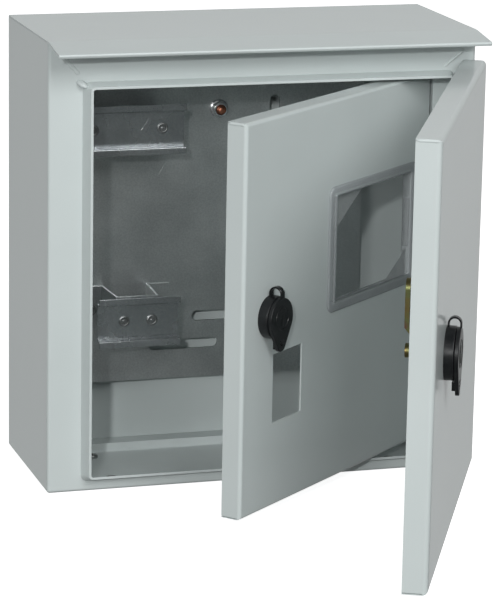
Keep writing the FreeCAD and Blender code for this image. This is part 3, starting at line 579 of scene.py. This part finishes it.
def add_studs():
    """Weld studs with a rolled thread and a domed end."""
    studs = Shape()
    segments = 28
    for low, high in island_boxes("plate_studs"):
        centre = (low + high) / 2
        radius, length = (high.x - low.x) / 2, high.y - low.y
        turns = int((length - THREAD_RUN_OUT) / THREAD_PITCH)
        rings = []
        for row in range(turns * THREAD_STEPS + 1):
            ring = []
            for step in range(segments):
                angle = 2 * math.pi * step / segments
                phase = (row / THREAD_STEPS + step / segments) % 1.0
                at = radius - THREAD_DEPTH * abs(2 * phase - 1)
                y = high.y - row / THREAD_STEPS * THREAD_PITCH
                ring.append(Vector((centre.x + at * math.cos(angle), y, centre.z + at * math.sin(angle))))
            rings.append(ring)
        end = high.y - turns * THREAD_PITCH
        for share, drop in STUD_DOME:
            y = max(end - drop * MM * (end - low.y) / THREAD_RUN_OUT, low.y)
            rings.append(circle(centre, share * radius, y, segments))
        studs.rings(rings)
    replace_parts(studs.finish("plate_studs_threaded", "copper_plated", "box", smooth=math.radians(60)),
                "plate_studs")


def add_nuts():
    """Flange nuts: domed flange, chamfered hexagon and a recess round the stud."""
    nuts = Shape()
    segments = 72
    for low, high in island_boxes("plate_nuts"):
        centre = (low + high) / 2
        flange, height = (high.x - low.x) / 2, high.y - low.y
        rings = []
        for share, level, six_sided in NUT_PROFILE:
            ring = []
            for step in range(segments):
                angle = 2 * math.pi * step / segments
                radius = share * flange
                if six_sided:
                    turned = (angle + math.pi / 6) % (math.pi / 3) - math.pi / 6
                    radius = min(radius, NUT_FLATS * flange / math.cos(turned))
                ring.append(Vector((centre.x + radius * math.cos(angle), high.y - level * height,
                                    centre.z + radius * math.sin(angle))))
            rings.append(ring)
        for share, level in NUT_BORE:
            rings.append(circle(centre, share * flange, high.y - level * height, segments))
        nuts.rings(rings, close_rings=True)
    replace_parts(nuts.finish("plate_nuts_chamfered", "bright_steel", "box", smooth=math.radians(32)),
                "plate_nuts")


def add_cable_entries():
    """Rubber entries with both flanges and stepped rings to cut for the cable."""
    for side in ("left", "right"):
        name = "cable_grommet_" + side
        low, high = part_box(name)
        centre = (low + high) / 2
        centre.z = low.z
        flange = (high.x - low.x) / 2
        height = high.z - low.z
        profile = [(flange - 0.6 * MM, 0), (flange, 0.4 * MM), (flange, 1.1 * MM),
                   (flange - 2.2 * MM, 1.2 * MM), (flange - 2.2 * MM, 2.4 * MM), (flange, 2.5 * MM),
                   (flange, GROMMET_COLLAR), (flange - 0.8 * MM, 4.4 * MM), (flange - 3.4 * MM, 4.4 * MM)]
        step = (height - GROMMET_COLLAR) / (GROMMET_RIBS + 1)
        foot, tip = flange - 4.2 * MM, 0.36 * flange
        for rib in range(GROMMET_RIBS + 1):
            share = rib / (GROMMET_RIBS + 1)
            radius = foot + (tip - foot) * share
            level = GROMMET_COLLAR + (height - GROMMET_COLLAR) * share
            profile.append((radius, level))
            profile.append((radius - 0.3 * MM, level + 0.8 * step))
            profile.append((radius - 0.9 * MM, level + step))
        profile += [(tip - 1.6 * MM, height - 0.6 * MM), (0.6 * MM, height - 0.7 * MM)]
        entry = Shape()
        entry.lathe(centre, profile, Vector((0, 0, 1)), 64)
        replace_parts(entry.finish(name + "_ribbed", "rubber", "box"), name)


# ---- window ----
PANE_SLACK = 0.1 * MM
PANE_FRONT, PANE_BACK = 0.3 * MM, 1.9 * MM
RIM_WALL = 1.7 * MM
RIM_OVERLAP_X, RIM_OVERLAP_Z = 6.3 * MM, 4.6 * MM
CLIP_LENGTH = 34.0 * MM
# steps of the rim's section in mm: growth from the hole's or the rim's edge, depth behind the door's face,
# corner radius
RIM_INNER = ((-1.7, 0.2, 1.0), (-1.7, -1.8, 1.0), (-1.5, -2.05, 1.2), (-1.0, -2.2, 1.6), (0.3, -2.2, 2.4),
             (0.85, -2.0, 2.8), (1.1, -1.7, 3.0), (1.5, -1.55, 3.3))
RIM_OUTER = ((-1.0, -1.55, 5.2), (-0.45, -1.35, 5.7), (-0.12, -0.95, 6.0), (0.0, -0.45, 6.1),
             (-0.05, -0.05, 6.1))
RIM_BACK = ((-0.2, -0.02, 1.8), (-0.2, 5.6, 1.8), (-0.5, 6.0, 1.6), (-1.4, 6.0, 1.2), (-1.7, 5.7, 1.0))
# side and level of each frosted corner of the pane, and the triangle's legs along x and z
FROSTED_CORNERS = ((-1, 1, 40.0 * MM, 27.0 * MM), (1, -1, 29.0 * MM, 18.0 * MM))


def rim_loops(centre, half_wide, half_tall, face, steps):
    """Rounded rectangles of one stretch of the rim's section."""
    loops = []
    for grow, depth, radius in steps:
        loops.append(rounded_loop(centre, half_wide + grow * MM, half_tall + grow * MM, radius * MM,
                                  face + depth * MM))
    return loops


def add_window():
    """Clear snap-in window: rim with rounded edges and a bead, pane, frosted corners and side clips."""
    low, high = closed_box("inner_window", "inner_door")
    face = closed_box("inner_door_panel", "inner_door")[0].y
    centre = (low + high) / 2
    rim_wide, rim_tall = (high.x - low.x) / 2, (high.z - low.z) / 2
    hole_wide, hole_tall = rim_wide - RIM_OVERLAP_X, rim_tall - RIM_OVERLAP_Z
    loops = rim_loops(centre, hole_wide, hole_tall, face, RIM_INNER)
    loops += rim_loops(centre, rim_wide, rim_tall, face, RIM_OUTER)
    loops += rim_loops(centre, hole_wide, hole_tall, face, RIM_BACK)
    rim = Shape()
    rim.rings(loops, close_rings=True)
    rim = rim.finish("window_rim", "clear_rim", "inner_door", smooth=math.radians(50))
    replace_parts(rim, "inner_window")

    pane = Shape()
    wide, tall = hole_wide - RIM_WALL - PANE_SLACK, hole_tall - RIM_WALL - PANE_SLACK
    pane.rings([rounded_loop(centre, wide, tall, 0.9 * MM, face + depth)
                for depth in (PANE_FRONT, PANE_BACK)])
    pane.finish("window_pane", "clear_pane", "inner_door")

    frost = Shape()
    y = face + 2.0 * MM
    for side, level, leg_x, leg_z in FROSTED_CORNERS:
        corner = Vector((centre.x + side * (wide - PANE_SLACK), y, centre.z + level * (tall - PANE_SLACK)))
        triangle = [corner, corner - Vector((side * leg_x, 0, 0)), corner - Vector((0, 0, level * leg_z))]
        frost.rings([triangle, [point + Vector((0, 0.25 * MM, 0)) for point in triangle]])
    frost.finish("window_frosted_corners", "clear_frosted", "inner_door")

    clips = Shape()
    for side in (-1, 1):
        wall = centre.x + side * (hole_wide - 0.2 * MM)
        section = ((-1.4, 1.3), (1.3, 1.3), (1.6, 1.7), (1.3, 2.2), (-0.4, 5.4), (-1.4, 5.4))
        clips.rings([[Vector((wall + side * out * MM, face + depth * MM, centre.z + end * CLIP_LENGTH / 2))
                      for out, depth in section] for end in (-1, 1)])
    clips.finish("window_clips", "clear_rim", "inner_door", smooth=math.radians(20))


# ---- dust caps ----
STRAP_THICK = 0.6 * MM       # half of its thickness
STRAP_ARC_STEPS = 16
# a strap's section: share of its half width, and share of its half thickness
STRAP_SECTION = ((-1, -0.5), (-0.85, -1), (0.85, -1), (1, -0.5), (1, 0.5), (0.85, 1), (-0.85, 1), (-1, 0.5))
EMBLEM_RING = 0.52           # its radius as a share of the cap ring's


def add_strap(door):
    """Flat rubber loop from the ring to the lid."""
    name = door.replace("_door", "_cap_strap")
    low, high = closed_box(name, door)
    half_wide = (high.x - low.x) / 2
    reach = (high.y - low.y) / 2 - STRAP_THICK
    middle = Vector(((low.x + high.x) / 2, (low.y + high.y) / 2, high.z - STRAP_THICK - reach))
    path = between(Vector((middle.x, middle.y + reach, low.z)), middle + Vector((0, reach, 0)), 4)
    for step in range(1, STRAP_ARC_STEPS):
        angle = math.pi * step / STRAP_ARC_STEPS
        path.append(middle + Vector((0, reach * math.cos(angle), reach * math.sin(angle))))
    path += between(middle + Vector((0, -reach, 0)), Vector((middle.x, middle.y - reach, low.z)), 4)
    strap = Shape()
    rings = []
    for index, point in enumerate(path):
        ahead = (path[min(index + 1, len(path) - 1)] - path[max(index - 1, 0)]).normalized()
        lift = Vector((1, 0, 0)).cross(ahead)
        rings.append([point + Vector((x * half_wide, 0, 0)) + out * STRAP_THICK * lift
                      for x, out in STRAP_SECTION])
    strap.rings(rings)
    piece = strap.finish(name + "_loop", "black_gloss", door, ride=False)
    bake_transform(piece)
    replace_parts(piece, name)


def add_lid_emblem(door, lid):
    """Plain raised keyhole in a ring, and two small bars above the seal hole."""
    front = closed_box(lid.replace("_lid", "_cap_lid"), door)[0].y
    ring_low, ring_high = closed_box(door.replace("_door", "_cap_ring"), door)
    centre = (ring_low + ring_high) / 2
    size = (ring_high.z - ring_low.z) / 2
    emblem = Shape()
    ring = [circle(centre, EMBLEM_RING * size + grow * MM, front - lift * MM, 40)
            for lift, grow in ((-0.05, 0.4), (0.3, 0.22), (0.3, -0.22), (-0.05, -0.4))]
    emblem.rings(ring, close_rings=True)
    keyhole = [(0.17 * size, 0), (0.17 * size, 0.25 * MM), (0.13 * size, 0.4 * MM), (0.02 * size, 0.4 * MM)]
    emblem.lathe(Vector((centre.x, front + 0.05 * MM, centre.z + 0.14 * size)), keyhole, segments=24)
    # level, half width and half height of the keyhole's slot and of two small bars, as shares of the size
    for level, wide, tall in ((-0.16, 0.07, 0.2), (-1.05, 0.16, 0.035), (-1.18, 0.16, 0.035)):
        middle = centre + Vector((0, 0, level * size))
        emblem.rings([rounded_loop(middle, (wide - inset) * size, (tall - inset) * size, 0.02 * size,
                                   front - lift * MM, 2)
                      for lift, inset in ((-0.05, 0.0), (0.28, 0.0), (0.36, 0.012))])
    emblem.finish(lid + "_emblem", "black_plastic", lid)


# ---- welds and seams ----
WELD_STEPS = 36
LIP_STANDS = 10.0 * MM       # the drip lip stands this far in front of the rim
LIP_LEFT, LIP_RIGHT, LIP_TOP = -127.0 * MM, 135.0 * MM, 127.8 * MM
CORNER_WELD_RADII = (1.95, 2.4, 2.73, 2.925, 3.0, 3.0, 2.94, 2.79, 2.55, 2.22, 1.725, 1.05)     # mm
# start and end as (x, z) in mm, node that is scratched, half width in mm
SCRATCHES = (
    ((-62.3, 90.0), (-67.4, 82.3), "rail", 0.07),
    ((-67.2, 82.6), (-68.4, 80.7), "rail", 0.16),
    ((-61.4, 85.0), (-57.8, 82.2), "rail", 0.05),
    ((-39.3, 52.8), (-46.0, 40.7), "plate", 0.07),
    ((-34.6, 57.5), (-33.4, 54.6), "plate", 0.08),
)
SCRATCH_TAPER = (0.3, 0.8, 1, 0.9, 1, 1, 0.8, 0.3)


def weld_bead(name, body, start, end, radius, wobble=0.16, height=0.45, proud=Vector((0, 1, 0.01))):
    """Ground weld bead: a low rounded ridge with uneven width, flat along the way it stands proud."""
    radii = []
    for index in range(WELD_STEPS):
        share = index / (WELD_STEPS - 1)
        uneven = 1 + wobble * math.sin(4.8 * math.pi * share) + 0.5 * wobble * math.sin(17.0 * share + 1.3)
        taper = min(1.0, 6 * share + 0.25, 6 * (1 - share) + 0.25)
        radii.append(radius * uneven * taper)
    bead = Shape()
    bead.tube(between(start, end, WELD_STEPS), radii, sides=14, flatten=height, up=proud)
    bead.finish(name, "painted_steel", body, smooth=math.radians(60))


def add_rim_welds():
    """Mitre seams of the rim's upper corners, and the weld on the lip's upper left corner."""
    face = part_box("body_wrap")[0].y + LIP_STANDS
    weld_bead("rim_weld_left", "box", Vector((LIP_LEFT - 1.5 * MM, face, LIP_TOP + 4.4 * MM)),
              Vector((LIP_LEFT - 13.5 * MM, face, LIP_TOP + 17.0 * MM)), 1.4 * MM, wobble=0.05, height=0.4)
    weld_bead("rim_weld_right", "box", Vector((LIP_RIGHT - 8.0 * MM, face, LIP_TOP + 2.0 * MM)),
              Vector((LIP_RIGHT + 6.5 * MM, face, LIP_TOP + 13.5 * MM)), 1.0 * MM, height=0.95)
    start = Vector((LIP_LEFT - 2.4 * MM, face + 0.4 * MM, LIP_TOP + 0.2 * MM))
    end = Vector((LIP_LEFT + 2.2 * MM, face - 4.6 * MM, LIP_TOP - 3.4 * MM))
    bump = Shape()
    bump.tube(between(start, end, len(CORNER_WELD_RADII)), [radius * MM for radius in CORNER_WELD_RADII],
              sides=24, flatten=0.7)
    bump.finish("lip_corner_weld", "painted_steel", "box", smooth=math.radians(60))


def add_door_corner_welds():
    """Short beads where the flanges meet at the upper free corner of each door."""
    for door in ("outer", "inner"):
        body = door + "_door"
        low, high = closed_box(door + "_door_panel", body)
        z = high.z - 1.25 * MM
        start = Vector((low.x + 0.1 * MM, low.y + 1.6 * MM, z))
        end = Vector((low.x + 0.1 * MM, high.y - 0.6 * MM, z))
        weld_bead(door + "_corner_weld_top", body, start, end, 0.9 * MM, wobble=0.08, height=0.5,
                  proud=Vector((1, 0.01, 0)))


def add_scratches():
    """Hairline scratches that bare the zinc on the upper rail and on the plate."""
    marks = Shape()
    faces = {"rail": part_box("rail_upper")[1].y - 1.0 * MM, "plate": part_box("mounting_plate")[0].y}
    for (start_x, start_z), (end_x, end_z), scratched, width in SCRATCHES:
        y = faces[scratched]
        path = between(Vector((start_x * MM, y, start_z * MM)), Vector((end_x * MM, y, end_z * MM)),
                       len(SCRATCH_TAPER))
        marks.tube(path, [width * MM * share for share in SCRATCH_TAPER], sides=6, flatten=0.25,
                   up=Vector((0, 1, 0.01)))
    marks.finish("zinc_scratches", "bright_steel", "box")


add_camera()
add_floor()
add_world()
for lamp in LAMPS:
    add_area_light(*lamp)
dress_cad_nodes()
add_rivets()
add_studs()
add_nuts()
add_cable_entries()
add_window()
for side in ("outer", "inner"):
    add_strap(side + "_door")
    add_lid_emblem(side + "_door", side + "_lid")
add_rim_welds()
add_door_corner_welds()
add_scratches()

bpy.context.scene.view_settings.view_transform = "Standard"
bpy.context.view_layer.update()
